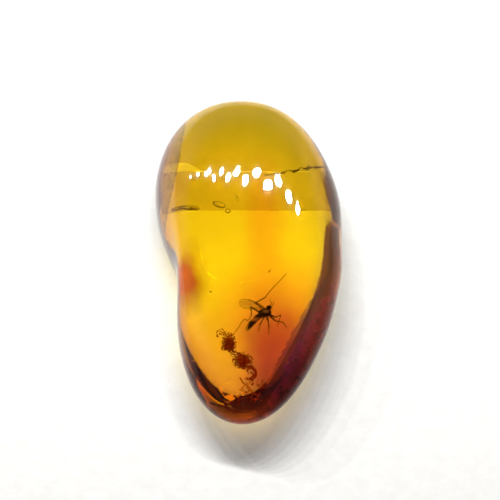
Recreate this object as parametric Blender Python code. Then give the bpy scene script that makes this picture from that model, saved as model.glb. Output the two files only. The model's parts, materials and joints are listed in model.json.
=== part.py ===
"""Insect in amber: a small fly and plant debris sealed in a polished, bean-shaped amber pebble.

The pebble lies on a small flat polished on its underside. Its long side runs along Y, its
thickness along Z, and the origin is at the bottom centre of its box. The clear amber is parted
level with the inclusions, so that each of them lies in a pocket between the two halves.
Lengths are in millimetres until a mesh is made, where MM turns them into metres.
"""

import math

import bmesh
import bpy
import numpy as np
from mathutils import Vector, noise

MM = 0.001

# --- Amber pebble: driving dimensions -------------------------------------------------------
# Distance from the middle of the pebble to its rim, seen from above, every 18 degrees
# anticlockwise from +X: 16 mm wide, 28 mm long, with a hollow flank on the -X side.
RIM_RADII = (8.0, 8.4, 9.6, 11.2, 13.0, 13.9, 14.0, 12.5, 9.9, 7.8,
             6.5, 6.3, 7.5, 9.7, 12.7, 14.0, 12.2, 10.0, 8.7, 8.1)
HEIGHT = 10.2
RIM_Z = 5.15                 # height of the rim at the origin
RIM_TILT = 0.17               # how much the rim rises for each millimetre in its direction
RIM_DIRECTION = math.radians(-35)

# Contours shrink from the rim to one point above and one below. On the way their outline turns
# from the rim's into an oval, given by its own middle and half axes.
TOP = {"point": (-0.7, 3.6), "oval_middle": (-0.1, 4.5), "oval_axes": (7.8, 11.8)}
BELLY = {"point": (-0.2, 2.0), "oval_middle": (-0.4, 2.2), "oval_axes": (7.7, 12.6)}
RIM_WEIGHT = 4                # power with which a contour takes up the rim's own outline
# Each side's arch is the sum of a round dome, with this share, and a flatter one of this power.
CROWN_SHARE = 0.3
CROWN_POWER = 9.0
DISH_SHARE = 0.4
SIDE_POWER = 4.7
BELLY_HOLLOW = 0.47           # how much less deep the belly is towards the narrow end
HOLLOW_DIRECTION = math.radians(-80)
FLAT_DEPTH = 0.2              # how much of the belly is polished off to make the resting flat
SEGMENTS = 72
RINGS = 13                    # contours between the rim and each end point

# --- Parting of the clear amber -------------------------------------------------------------
PART_Z = 4.75
PART_GAP = 0.3
POCKET_CLEARANCE = 0.32

# --- Fly: it lies on its side, head towards +X, belly towards the narrow end ------------------
FLY_Z = 5.05
THORAX_CENTRE = (1.36, -4.37)
THORAX_HALF_AXES = (0.50, 0.34, 0.36)
THORAX_TURN = math.radians(12)
HEAD_CENTRE = (1.72, -3.97)
HEAD_HALF_AXES = (0.20, 0.17, 0.21)
EYE_RADIUS = 0.12
# Middle line of the abdomen and its half width at each ring, from the waist to the tip.
ABDOMEN = ((1.08, -4.52, 0.17), (0.86, -4.66, 0.21), (0.64, -4.86, 0.22), (0.46, -5.06, 0.21),
           (0.30, -5.28, 0.18), (0.16, -5.50, 0.14), (0.05, -5.68, 0.08))
# Each leg: the points of its joints as (x, y, height above FLY_Z), from the thorax to the claw.
LEGS = {
    "front_near": ((1.66, -4.48, 0.12), (2.12, -4.76, 0.24), (2.58, -4.58, 0.30),
                   (2.44, -5.02, 0.26), (2.28, -5.44, 0.20)),
    "front_far": ((1.60, -4.50, -0.12), (2.14, -4.98, -0.26), (2.70, -5.06, -0.30),
                  (2.96, -5.53, -0.26)),
    "middle_near": ((1.30, -4.56, 0.10), (1.18, -4.98, 0.26), (0.92, -5.44, 0.24),
                    (0.84, -5.97, 0.18)),
    "middle_far": ((1.46, -4.56, -0.10), (1.58, -5.02, -0.24), (1.64, -5.56, -0.26),
                   (1.59, -6.06, -0.22)),
    "hind_near": ((1.12, -4.48, 0.12), (0.23, -3.91, 0.34), (0.30, -4.60, 0.36),
                  (0.02, -5.04, 0.34), (-0.30, -4.98, 0.28), (-0.60, -5.44, 0.22),
                  (-1.06, -6.15, 0.16)),
    "hind_far": ((1.36, -4.10, -0.14), (0.57, -3.51, -0.24), (1.37, -3.07, -0.20),
                 (1.75, -2.54, -0.10), (2.44, -1.80, 0.00), (3.11, -1.05, 0.08)),
}
LEG_RADII = (0.055, 0.045)    # at the thorax and at the claw
ANTENNAE = (((1.76, -3.86, 0.08), (1.86, -3.58, 0.18), (1.72, -3.28, 0.26)),
            ((1.80, -3.90, -0.06), (2.00, -3.66, -0.16), (2.04, -3.36, -0.24)))
ANTENNA_RADIUS = 0.04
# Outline of the spread wing from its root round its tip, and of the one folded on the abdomen.
WING_SPREAD = ((1.44, -4.06), (1.22, -3.80), (0.98, -3.68), (0.60, -3.52), (0.24, -3.34),
               (-0.10, -3.24), (-0.44, -3.26), (-0.68, -3.46), (-0.66, -3.76), (-0.36, -4.00),
               (0.02, -4.08), (0.46, -4.12), (0.86, -4.10), (1.20, -4.26))
WING_FOLDED = ((1.30, -4.44), (1.02, -4.40), (0.66, -4.60), (0.30, -4.92), (0.02, -5.28),
               (-0.14, -5.62), (-0.08, -5.82), (0.12, -5.76), (0.40, -5.46), (0.74, -5.10),
               (1.06, -4.80))
WING_SPREAD_Z = 0.02
WING_FOLDED_Z = -0.17
WING_THICKNESS = 0.05

# --- Plant debris: crumbs and a fibre on the seam between two flows of resin ------------------
DEBRIS_Z = 4.05
UPPER_CRUMB = {"centre": (-1.38, -6.62), "half_axes": (0.42, 0.62, 0.34), "turn": 25, "seed": 3.0}
LOWER_CRUMB = {"centre": (-0.36, -8.06), "half_axes": (0.62, 0.50, 0.32), "turn": -20, "seed": 7.0}
CRUMB_ROUGHNESS = 0.28
CURL = ((0.02, -8.62, 0.0), (0.36, -8.70, 0.06), (0.60, -9.00, 0.10), (0.54, -9.36, 0.06),
        (0.22, -9.56, 0.0), (-0.08, -9.44, -0.06))
CURL_RADII = (0.16, 0.10)
THREAD = ((-0.52, -9.38, -0.16), (-0.28, -9.82, -0.10), (0.04, -10.10, -0.02), (0.34, -10.52, 0.06),
          (0.60, -10.78, 0.10))
THREAD_RADII = (0.09, 0.05)

CUT_BLOCK = 40.0              # side of the blocks that part the pebble


def clear_scene():
    """Take away the objects that a new scene starts with."""
    for item in list(bpy.data.objects):
        bpy.data.objects.remove(item, do_unlink=True)


def add_material(name, colour, roughness, transmission=0.0):
    """A Principled material with one colour (linear RGB)."""
    material = bpy.data.materials.new(name)
    material.use_nodes = True
    shader = material.node_tree.nodes["Principled BSDF"]
    shader.inputs["Base Color"].default_value = (*colour, 1.0)
    shader.inputs["Roughness"].default_value = roughness
    shader.inputs["Transmission Weight"].default_value = transmission
    shader.inputs["Metallic"].default_value = 0.0
    if transmission:
        shader.inputs["IOR"].default_value = 1.54
    return material


def add_object(name, points, faces, material=None, smooth=True):
    """Turn points in millimetres and their faces into an object with its normals outward."""
    mesh = bpy.data.meshes.new(name)
    mesh.from_pydata([tuple(c * MM for c in point) for point in points], [], faces)
    work = bmesh.new()
    work.from_mesh(mesh)
    bmesh.ops.recalc_face_normals(work, faces=work.faces)
    work.to_mesh(mesh)
    work.free()
    if smooth:
        mesh.shade_smooth()
    if material:
        mesh.materials.append(material)
    item = bpy.data.objects.new(name, mesh)
    bpy.context.scene.collection.objects.link(item)
    return item


def hide_tool(item):
    """Mark a cutter or a joined-in piece, which is no part of its own."""
    item.hide_render = True
    item.display_type = "WIRE"
    return item


def add_boolean(item, other, operation):
    """Cut, keep or join one solid with another."""
    modifier = item.modifiers.new(f"{operation.lower()} {other.name}", "BOOLEAN")
    modifier.operation = operation
    modifier.solver = "EXACT"
    modifier.object = other


# --- Amber pebble -----------------------------------------------------------------------------

def rim_points(angles):
    """Points of the rim at the angles: the smooth wave through RIM_RADII, centred on its box."""
    count = len(RIM_RADII)
    waves = np.fft.rfft(RIM_RADII) / count
    radius = np.full(len(angles), waves[0].real)
    for order in range(1, count // 2):
        radius += 2 * (waves[order] * np.exp(1j * order * angles)).real
    radius += waves[count // 2].real * np.cos(count // 2 * angles)
    points = np.stack([radius * np.cos(angles), radius * np.sin(angles)], axis=1)
    return points - (points.min(axis=0) + points.max(axis=0)) / 2


def contour(side, share, angles, rim):
    """Plan of one contour: at share 0 the side's end point, then an oval, and at 1 the rim."""
    weight = share ** RIM_WEIGHT
    point = np.array(side["point"])
    circle = np.stack([np.cos(angles), np.sin(angles)], axis=1)
    oval = np.array(side["oval_middle"]) + circle * side["oval_axes"]
    return point + share * ((1 - weight) * oval + weight * rim - point)


def profile(share, round_share, power):
    """Height of a contour as a share of the whole: a round dome plus a flatter one."""
    flatter = math.sqrt(1 - share ** power)
    return round_share * math.sqrt(1 - share ** 2) + (1 - round_share) * flatter


def rim_heights(rim):
    """Height of the rim at its points: it lies a little aslant."""
    direction = np.array([math.cos(RIM_DIRECTION), math.sin(RIM_DIRECTION)])
    return RIM_Z + RIM_TILT * rim @ direction


def belly_heights(share, angles, edge):
    """Heights of the underside at one contour, with its hollow and the resting flat."""
    towards = np.clip(np.cos(angles - HOLLOW_DIRECTION), 0, 1) ** 2
    hollow = BELLY_HOLLOW * 4 * share ** 2 * (1 - share ** 2) * towards
    depth = (edge + FLAT_DEPTH) * profile(share, DISH_SHARE, SIDE_POWER)
    return np.maximum(edge - depth + hollow, 0.0)


def pebble_mesh():
    """Points and faces of the whole pebble: contours from the top, over the rim, to the belly."""
    angles = 2 * math.pi * np.arange(SEGMENTS) / SEGMENTS
    rim = rim_points(angles)
    edge = rim_heights(rim)
    shares = [math.sin(math.pi / 2 * step / RINGS) for step in range(1, RINGS)]
    rings = []
    for share in shares:
        heights = edge + (HEIGHT - edge) * profile(share, CROWN_SHARE, CROWN_POWER)
        rings.append(np.column_stack([contour(TOP, share, angles, rim), heights]))
    rings.append(np.column_stack([rim, edge]))
    for share in reversed(shares):
        plan = contour(BELLY, share, angles, rim)
        rings.append(np.column_stack([plan, belly_heights(share, angles, edge)]))
    points = [tuple(point) for ring in rings for point in ring]
    faces = []
    for ring in range(len(rings) - 1):
        for i in range(SEGMENTS):
            j = (i + 1) % SEGMENTS
            above, below = ring * SEGMENTS, (ring + 1) * SEGMENTS
            faces.append((above + j, above + i, below + i, below + j))
    last = (len(rings) - 1) * SEGMENTS
    points.append((*TOP["point"], HEIGHT))
    points.append((*BELLY["point"], 0.0))
    for i in range(SEGMENTS):
        j = (i + 1) % SEGMENTS
        faces.append((len(points) - 2, i, j))
        faces.append((len(points) - 1, last + j, last + i))
    return points, faces


def add_block(name, low_z, high_z):
    """A wide block between two heights, which keeps one half of the pebble."""
    side = CUT_BLOCK / 2
    corners = [(x, y, z) for z in (low_z, high_z) for x, y in
               ((-side, -side), (side, -side), (side, side), (-side, side))]
    faces = [(0, 3, 2, 1), (4, 5, 6, 7), (0, 1, 5, 4), (1, 2, 6, 5), (2, 3, 7, 6), (3, 0, 4, 7)]
    return hide_tool(add_object(name, corners, faces, smooth=False))


def add_pocket(name, items):
    """The space around inclusions: their convex hull, one clearance wider on every side."""
    work = bmesh.new()
    ball = bmesh.new()
    bmesh.ops.create_icosphere(ball, subdivisions=1, radius=1.12 * POCKET_CLEARANCE * MM)
    offsets = [vertex.co.copy() for vertex in ball.verts]
    ball.free()
    graph = bpy.context.evaluated_depsgraph_get()
    for item in items:
        for vertex in item.evaluated_get(graph).data.vertices:
            for offset in offsets:
                work.verts.new(vertex.co + offset)
    hull = bmesh.ops.convex_hull(work, input=work.verts)
    loose = set(hull["geom_interior"] + hull["geom_unused"])
    bmesh.ops.delete(work, geom=[v for v in work.verts if v in loose or not v.link_faces],
                     context="VERTS")
    bmesh.ops.dissolve_limit(work, angle_limit=math.radians(4), verts=work.verts, edges=work.edges)
    points = [tuple(vertex.co / MM) for vertex in work.verts]
    work.verts.index_update()
    faces = [tuple(vertex.index for vertex in face.verts) for face in work.faces]
    work.free()
    return hide_tool(add_object(name, points, faces, smooth=False))


def add_amber(pockets, material):
    """The two halves of the clear pebble, with the pockets cut from both."""
    low_cut, high_cut = PART_Z - PART_GAP / 2, PART_Z + PART_GAP / 2
    spans = {"amber_lower": (-CUT_BLOCK, low_cut), "amber_upper": (high_cut, CUT_BLOCK)}
    for name, (low_z, high_z) in spans.items():
        half = add_object(name, *pebble_mesh(), material)
        add_boolean(half, add_block(f"{name}_side", low_z, high_z), "INTERSECT")
        for pocket in pockets:
            add_boolean(half, pocket, "DIFFERENCE")
        half.data.set_sharp_from_angle(angle=math.radians(40))


# --- Inclusions ---------------------------------------------------------------------------------

def add_ellipsoid(name, centre, half_axes, turn=0.0, material=None, detail=3):
    """A ball stretched to its half axes and turned about Z."""
    work = bmesh.new()
    bmesh.ops.create_icosphere(work, subdivisions=detail, radius=1.0)
    cos, sin = math.cos(turn), math.sin(turn)
    points = []
    for vertex in work.verts:
        x, y, z = (c * half for c, half in zip(vertex.co, half_axes))
        points.append((centre[0] + x * cos - y * sin, centre[1] + x * sin + y * cos, centre[2] + z))
    work.verts.index_update()
    faces = [tuple(vertex.index for vertex in face.verts) for face in work.faces]
    work.free()
    return add_object(name, points, faces, material)


def add_tube(name, path, radii, material=None, sides=6):
    """A closed tube along points in millimetres, with a radius for each of them."""
    path = [Vector(point) for point in path]
    points, faces = [], []
    across = Vector((0, 0, 1))
    for i, middle in enumerate(path):
        along = (path[min(i + 1, len(path) - 1)] - path[max(i - 1, 0)]).normalized()
        across = (across - along * across.dot(along)).normalized()
        beside = along.cross(across)
        for side in range(sides):
            angle = 2 * math.pi * side / sides
            points.append(middle + radii[i] * (math.cos(angle) * across + math.sin(angle) * beside))
    for i in range(len(path) - 1):
        for side in range(sides):
            after = (side + 1) % sides
            faces.append((i * sides + side, i * sides + after,
                          (i + 1) * sides + after, (i + 1) * sides + side))
    faces.append(tuple(range(sides)))
    faces.append(tuple(range((len(path) - 1) * sides, len(path) * sides)))
    return add_object(name, points, faces, material)


def even_radii(ends, count):
    """Radii that run evenly from the first end's value to the last one's."""
    return [ends[0] + (ends[1] - ends[0]) * i / (count - 1) for i in range(count)]


def lift(path, height):
    """The same points with a height added to each."""
    return [(x, y, z + height) for x, y, z in path]


def add_plate(name, outline, height, thickness):
    """A flat plate over an outline, such as a wing's membrane."""
    count = len(outline)
    points = [(x, y, height + side * thickness / 2) for side in (-1, 1) for x, y in outline]
    faces = [tuple(reversed(range(count))), tuple(range(count, 2 * count))]
    faces += [(i, (i + 1) % count, count + (i + 1) % count, count + i) for i in range(count)]
    return add_object(name, points, faces, smooth=False)


def add_fly(material):
    """The fly as one solid: head, legs, wings and abdomen are joined to its thorax."""
    fly = add_ellipsoid("fly", (*THORAX_CENTRE, FLY_Z), THORAX_HALF_AXES, THORAX_TURN, material)
    head = (*HEAD_CENTRE, FLY_Z)
    pieces = [add_ellipsoid("fly_head", head, HEAD_HALF_AXES)]
    for side in (-1, 1):
        eye = (head[0] + 0.04, head[1] + 0.02, head[2] + side * 0.13)
        pieces.append(add_ellipsoid(f"fly_eye_{side}", eye, (EYE_RADIUS,) * 3, detail=2))
    spine = [(x, y, FLY_Z) for x, y, _ in ABDOMEN]
    pieces.append(add_tube("fly_abdomen", spine, [half for *_, half in ABDOMEN], sides=10))
    for name, path in LEGS.items():
        radii = even_radii(LEG_RADII, len(path))
        pieces.append(add_tube(f"fly_leg_{name}", lift(path, FLY_Z), radii))
    for i, path in enumerate(ANTENNAE):
        pieces.append(add_tube(f"fly_antenna_{i}", lift(path, FLY_Z), [ANTENNA_RADIUS] * len(path)))
    pieces.append(add_plate("fly_wing_spread", WING_SPREAD, FLY_Z + WING_SPREAD_Z, WING_THICKNESS))
    pieces.append(add_plate("fly_wing_folded", WING_FOLDED, FLY_Z + WING_FOLDED_Z, WING_THICKNESS))
    for piece in pieces:
        add_boolean(fly, hide_tool(piece), "UNION")
    return fly


def add_crumb(name, centre, half_axes, turn, seed, material):
    """A crumb of bark or soil: an ellipsoid with a rough, lumpy skin."""
    item = add_ellipsoid(name, (*centre, DEBRIS_Z), half_axes, math.radians(turn), material)
    middle = Vector((*centre, DEBRIS_Z)) * MM
    for vertex in item.data.vertices:
        offset = vertex.co - middle
        lumps = noise.noise(offset / MM * 2.4 + Vector((seed, seed, seed)))
        vertex.co = middle + offset * (1 + CRUMB_ROUGHNESS * lumps)
    return item


def add_debris(material):
    """The plant debris: two crumbs, and a curled flake with a fibre joined on."""
    crumbs = [add_crumb("debris_crumb_upper", **UPPER_CRUMB, material=material),
              add_crumb("debris_crumb_lower", **LOWER_CRUMB, material=material)]
    curl = add_tube("debris_curl", lift(CURL, DEBRIS_Z), even_radii(CURL_RADII, len(CURL)),
                    material, sides=8)
    fibre = add_tube("debris_fibre", lift(THREAD, DEBRIS_Z), even_radii(THREAD_RADII, len(THREAD)),
                     material)
    return [*crumbs, curl, fibre]


def main():
    clear_scene()
    amber = add_material("amber", (0.86, 0.42, 0.02), 0.05, transmission=1.0)
    chitin = add_material("fly cuticle", (0.035, 0.018, 0.012), 0.45)
    bark = add_material("plant debris", (0.13, 0.045, 0.015), 0.85)
    fly = add_fly(chitin)
    debris = add_debris(bark)
    pockets = [add_pocket("fly_pocket", [fly]), add_pocket("debris_pocket", debris)]
    add_amber(pockets, amber)


main()
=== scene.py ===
# %% [markdown]
# # A fly in a polished amber pebble
# Amber is fossil resin. A tree bled it in several flows, a small fly and some crumbs of bark
# stuck to one of them, and the next flow sealed them in. Much later someone ground the lump to
# a bean shape and polished it. Nearly everything that the eye sees here is light that went
# through the pebble: down into it, onto the paper below, and back out. So the pebble is built
# as real glass-like matter with a real thickness, and its colour comes from that thickness.
#
# The solids of the part come first. They are loaded as a fixed frame, in metres, and
# every detailed piece below stands exactly where its plain solid stands.

# %% Load the frame that every piece is placed in
import json
import math

import bmesh
import bpy
import numpy as np
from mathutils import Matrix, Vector, noise
from mathutils.bvhtree import BVHTree

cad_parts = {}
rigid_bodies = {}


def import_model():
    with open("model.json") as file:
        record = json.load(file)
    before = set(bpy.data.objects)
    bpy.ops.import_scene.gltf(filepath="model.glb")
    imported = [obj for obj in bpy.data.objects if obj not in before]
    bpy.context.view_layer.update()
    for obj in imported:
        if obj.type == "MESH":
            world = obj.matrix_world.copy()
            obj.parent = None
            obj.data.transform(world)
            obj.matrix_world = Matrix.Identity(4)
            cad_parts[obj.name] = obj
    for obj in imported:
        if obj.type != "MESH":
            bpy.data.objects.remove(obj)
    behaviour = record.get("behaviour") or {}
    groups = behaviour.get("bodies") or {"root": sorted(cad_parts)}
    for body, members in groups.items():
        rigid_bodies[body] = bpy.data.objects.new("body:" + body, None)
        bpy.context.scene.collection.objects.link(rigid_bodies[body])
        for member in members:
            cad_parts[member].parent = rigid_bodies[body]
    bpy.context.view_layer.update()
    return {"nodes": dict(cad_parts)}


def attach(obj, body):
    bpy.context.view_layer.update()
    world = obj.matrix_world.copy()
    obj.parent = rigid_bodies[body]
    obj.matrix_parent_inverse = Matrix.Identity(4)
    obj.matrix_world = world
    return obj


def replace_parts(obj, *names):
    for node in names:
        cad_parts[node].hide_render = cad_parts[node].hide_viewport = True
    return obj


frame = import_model()
MM = 0.001
print("solids:", ", ".join(sorted(frame["nodes"])))

# %% [markdown]
# Three small helpers serve the whole file. Colours are easiest to judge as the hex values of a
# colour picker, which are sRGB, while Blender's sockets want linear light, so one function
# converts them. One function adds a node with its settings and links. One turns lists of
# points, in millimetres, into a mesh object.

# %% Colours, nodes and meshes
def hex_colour(text):
    """Linear RGBA from an sRGB hex colour such as "#c88a1e"."""
    channels = [int(text[i:i + 2], 16) / 255 for i in (1, 3, 5)]
    linear = [c / 12.92 if c <= 0.04045 else ((c + 0.055) / 1.055) ** 2.4 for c in channels]
    return (*linear, 1.0)


def add_node(tree, kind, links=(), **settings):
    """Add a node. Settings name its sockets or properties; links are (socket, source) pairs."""
    node = tree.nodes.new(kind)
    for key, value in settings.items():
        if hasattr(node, key):
            setattr(node, key, value)
        else:
            node.inputs[key.replace("_", " ")].default_value = value
    for socket, source in links:
        tree.links.new(source, node.inputs[socket])
    return node


def new_material(name):
    """A material with only its Principled shader, and the shader."""
    material = bpy.data.materials.new(name)
    material.use_nodes = True
    return material, material.node_tree.nodes["Principled BSDF"]


def add_piece(name, points, faces, material, smooth=True):
    """A mesh object from points in millimetres."""
    mesh = bpy.data.meshes.new(name)
    mesh.from_pydata([[c * MM for c in point] for point in points], [], faces)
    mesh.validate()
    if smooth:
        mesh.shade_smooth()
    mesh.materials.append(material)
    piece = bpy.data.objects.new(name, mesh)
    bpy.context.scene.collection.objects.link(piece)
    print(f"{name}: {len(mesh.vertices)} points, {len(mesh.polygons)} faces")
    return piece


print("amber yellow in linear light:", [round(c, 3) for c in hex_colour("#ffd200")])

# %% [markdown]
# Three more helpers serve the materials. Patterns are sized in millimetres, from the object's own
# coordinates, so they stay put on the part from every side. A soft spot says where a stain, a
# dusting or a pale patch lies, and a blend mixes two colours by such a spot or by a noise.

# %% Patterns
def in_millimetres(tree):
    """The object's own coordinates, scaled so that every pattern below is sized in mm."""
    place = add_node(tree, "ShaderNodeTexCoord")
    scale = add_node(tree, "ShaderNodeVectorMath", [(0, place.outputs["Object"])],
                     operation="SCALE")
    scale.inputs["Scale"].default_value = 1 / MM
    return scale.outputs[0]


def soft_spot(tree, place, centre, half_axes, edge=0.5):
    """1 inside an ellipsoid, 0 outside it, with a soft edge of the given share."""
    offset = add_node(tree, "ShaderNodeVectorMath", [(0, place)], operation="SUBTRACT")
    offset.inputs[1].default_value = centre
    share = add_node(tree, "ShaderNodeVectorMath", [(0, offset.outputs[0])], operation="DIVIDE")
    share.inputs[1].default_value = half_axes
    reach = add_node(tree, "ShaderNodeVectorMath", [(0, share.outputs[0])], operation="LENGTH")
    fade = add_node(tree, "ShaderNodeMapRange", [("Value", reach.outputs["Value"])],
                    From_Min=1 - edge, From_Max=1 + edge, To_Min=1.0, To_Max=0.0,
                    interpolation_type="SMOOTHSTEP")
    return fade.outputs[0]


def blend(tree, strength, first, second, mode="MIX"):
    """Mix two colours, given as sockets or as values, by a strength."""
    mix = add_node(tree, "ShaderNodeMix", data_type="RGBA", blend_type=mode)
    for socket, value in ((0, strength), (6, first), (7, second)):
        if isinstance(value, bpy.types.NodeSocket):
            tree.links.new(value, mix.inputs[socket])
        else:
            mix.inputs[socket].default_value = value
    return mix.outputs[2]


print("one pattern unit is 1 mm:", round(1 / MM), "per metre")

# %% [markdown]
# ## Camera
# The eye stands nearly above the pebble, 13 degrees towards its narrow end, as near as one
# holds a small stone to look into it. A near camera matters with a lens-shaped stone, because
# it changes which part of the surroundings each spot of the surface shows.

# %% Camera
CAMERA_RISE = math.radians(77)      # above the horizon
CAMERA_DISTANCE = 250               # mm from the point it looks at
FIELD = 42.9                        # mm across the picture at that distance
LOOK_AT = Vector((0.17, 1.54, 4.0))

to_camera = Vector((0, -math.cos(CAMERA_RISE), math.sin(CAMERA_RISE)))
camera_place = LOOK_AT + to_camera * CAMERA_DISTANCE
lens = bpy.data.cameras.new("camera")
lens.lens = lens.sensor_width * CAMERA_DISTANCE / FIELD
lens.clip_start = 0.001
camera = bpy.data.objects.new("camera", lens)
camera.location = camera_place * MM
camera.rotation_mode = "QUATERNION"
camera.rotation_quaternion = to_camera.to_track_quat("Z", "Y")
bpy.context.scene.collection.objects.link(camera)
bpy.context.scene.camera = camera
print("focal length in mm:", round(lens.lens, 1))

# %% [markdown]
# ## The pebble's form
# A polished pebble has no flat and no arc, so it is built from contours, as on a map. The rim
# is a smooth closed wave through twenty radii. From the rim the contours rise to one point on
# top and sink to another below, and on the way they change from the rim's bean outline to a
# plain oval. This is the same rule as the part's solid follows, only with three times as many
# points, because a lens with visible facets would break its picture up.

# %% The pebble's driving dimensions, in millimetres
RIM_RADII = (8.0, 8.4, 9.6, 11.2, 13.0, 13.9, 14.0, 12.5, 9.9, 7.8,
             6.5, 6.3, 7.5, 9.7, 12.7, 14.0, 12.2, 10.0, 8.7, 8.1)
HEIGHT = 10.2
RIM_Z = 5.15
RIM_TILT = 0.17
RIM_DIRECTION = math.radians(-35)
FLAT_DEPTH = 0.2
TOP = {"point": (-0.7, 3.6), "oval_middle": (-0.1, 4.5), "oval_axes": (7.8, 11.8)}
BELLY = {"point": (-0.2, 2.0), "oval_middle": (-0.4, 2.2), "oval_axes": (7.7, 12.6)}
RIM_WEIGHT = 4
CROWN_SHARE = 0.3
CROWN_POWER = 9.0
DISH_SHARE = 0.4
SIDE_POWER = 4.7
BELLY_HOLLOW = 0.47
HOLLOW_DIRECTION = math.radians(-80)
SEGMENTS = 240
RINGS = 80


# %% The contours
def rim_points(angles):
    """Points of the rim at the angles: the smooth wave through RIM_RADII, centred on its box."""
    count = len(RIM_RADII)
    waves = np.fft.rfft(RIM_RADII) / count
    radius = np.full(len(angles), waves[0].real)
    for order in range(1, count // 2):
        radius += 2 * (waves[order] * np.exp(1j * order * angles)).real
    radius += waves[count // 2].real * np.cos(count // 2 * angles)
    points = np.stack([radius * np.cos(angles), radius * np.sin(angles)], axis=1)
    return points - (points.min(axis=0) + points.max(axis=0)) / 2


def contour(side, share, angles, rim):
    """Plan of one contour: at share 0 the side's end point, then an oval, and at 1 the rim."""
    weight = share ** RIM_WEIGHT
    point = np.array(side["point"])
    circle = np.stack([np.cos(angles), np.sin(angles)], axis=1)
    oval = np.array(side["oval_middle"]) + circle * side["oval_axes"]
    return point + share * ((1 - weight) * oval + weight * rim - point)


def profile(share, round_share, power):
    """Height of a contour as a share of the whole: a round dome plus a flatter one."""
    flatter = (1 - round_share) * math.sqrt(1 - share ** power)
    return round_share * math.sqrt(1 - share ** 2) + flatter


def rim_heights(rim):
    """Height of the rim at its points: it lies a little aslant."""
    direction = np.array([math.cos(RIM_DIRECTION), math.sin(RIM_DIRECTION)])
    return RIM_Z + RIM_TILT * rim @ direction


def belly_heights(share, angles, edge):
    """Heights of the underside at one contour, with its hollow and the resting flat."""
    towards = np.clip(np.cos(angles - HOLLOW_DIRECTION), 0, 1) ** 2
    hollow = BELLY_HOLLOW * 4 * share ** 2 * (1 - share ** 2) * towards
    depth = (edge + FLAT_DEPTH) * profile(share, DISH_SHARE, SIDE_POWER)
    return np.maximum(edge - depth + hollow, 0.0)


def pebble_mesh():
    """Points and faces of the pebble, contour by contour from the top, over the rim, to the
    belly, and how near each point is to the rim: 0 at the two end points and 1 at the rim."""
    angles = 2 * math.pi * np.arange(SEGMENTS) / SEGMENTS
    rim = rim_points(angles)
    edge = rim_heights(rim)
    shares = [math.sin(math.pi / 2 * step / RINGS) for step in range(1, RINGS)]
    rings = []
    for share in shares:
        heights = edge + (HEIGHT - edge) * profile(share, CROWN_SHARE, CROWN_POWER)
        rings.append(np.column_stack([contour(TOP, share, angles, rim), heights]))
    rings.append(np.column_stack([rim, edge]))
    for share in reversed(shares):
        plan = contour(BELLY, share, angles, rim)
        rings.append(np.column_stack([plan, belly_heights(share, angles, edge)]))
    points = [tuple(point) for ring in rings for point in ring]
    nearness = [share for share in (*shares, 1.0, *reversed(shares)) for _ in range(SEGMENTS)]
    points.append((*TOP["point"], HEIGHT))
    points.append((*BELLY["point"], 0.0))
    faces = []
    last = (len(rings) - 1) * SEGMENTS
    for i in range(SEGMENTS):
        j = (i + 1) % SEGMENTS
        for row in range(0, last, SEGMENTS):
            faces.append((row + j, row + i, row + SEGMENTS + i, row + SEGMENTS + j))
        faces.append((len(points) - 2, i, j))
        faces.append((len(points) - 1, last + j, last + i))
    return points, faces, nearness + [0.0, 0.0]


pebble_points, pebble_faces, rim_nearness = pebble_mesh()
print("pebble:", len(pebble_points), "points")

# %% [markdown]
# ## Shapes for small creatures
# An insect is a bag of round segments and thin jointed tubes. Two functions make both kinds,
# and each adds its points to a shape, a pair of lists, so that hundreds of them end as one mesh.
# The ball takes a relief function, which lets the same code make a smooth eye and a rough crumb.

# %% Balls, tubes and smooth paths
def new_shape():
    return {"points": [], "faces": []}


def join_in(shape, points, faces):
    """Add points and faces to a shape."""
    start = len(shape["points"])
    shape["points"] += [tuple(point) for point in points]
    shape["faces"] += [tuple(start + i for i in face) for face in faces]


def ball(shape, centre, half_axes, turn=0.0, detail=3, relief=None):
    """An icosphere stretched to its half axes and turned about Z. relief(direction) swells it."""
    work = bmesh.new()
    bmesh.ops.create_icosphere(work, subdivisions=detail, radius=1.0)
    cos, sin = math.cos(turn), math.sin(turn)
    points = []
    for vertex in work.verts:
        swell = 1 + relief(vertex.co) if relief else 1
        x, y, z = (c * half * swell for c, half in zip(vertex.co, half_axes))
        points.append((centre[0] + x * cos - y * sin, centre[1] + x * sin + y * cos, centre[2] + z))
    work.verts.index_update()
    faces = [tuple(vertex.index for vertex in face.verts) for face in work.faces]
    work.free()
    join_in(shape, points, faces)


def tube(shape, path, radii, sides=8):
    """A closed tube along a path, with a radius for each of its points."""
    path = [Vector(point) for point in path]
    points, faces = [], []
    across = Vector((0.1, 0.2, 1)).normalized()
    for i, middle in enumerate(path):
        along = (path[min(i + 1, len(path) - 1)] - path[max(i - 1, 0)]).normalized()
        across = (across - along * across.dot(along)).normalized()
        beside = along.cross(across)
        for side in range(sides):
            angle = 2 * math.pi * side / sides
            points.append(middle + (math.cos(angle) * across + math.sin(angle) * beside) * radii[i])
    for i in range(len(path) - 1):
        for side in range(sides):
            after = (side + 1) % sides
            faces.append((i * sides + after, i * sides + side,
                          (i + 1) * sides + side, (i + 1) * sides + after))
    faces.append(tuple(range(sides)))
    faces.append(tuple(reversed(range((len(path) - 1) * sides, len(path) * sides))))
    join_in(shape, points, faces)


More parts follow.
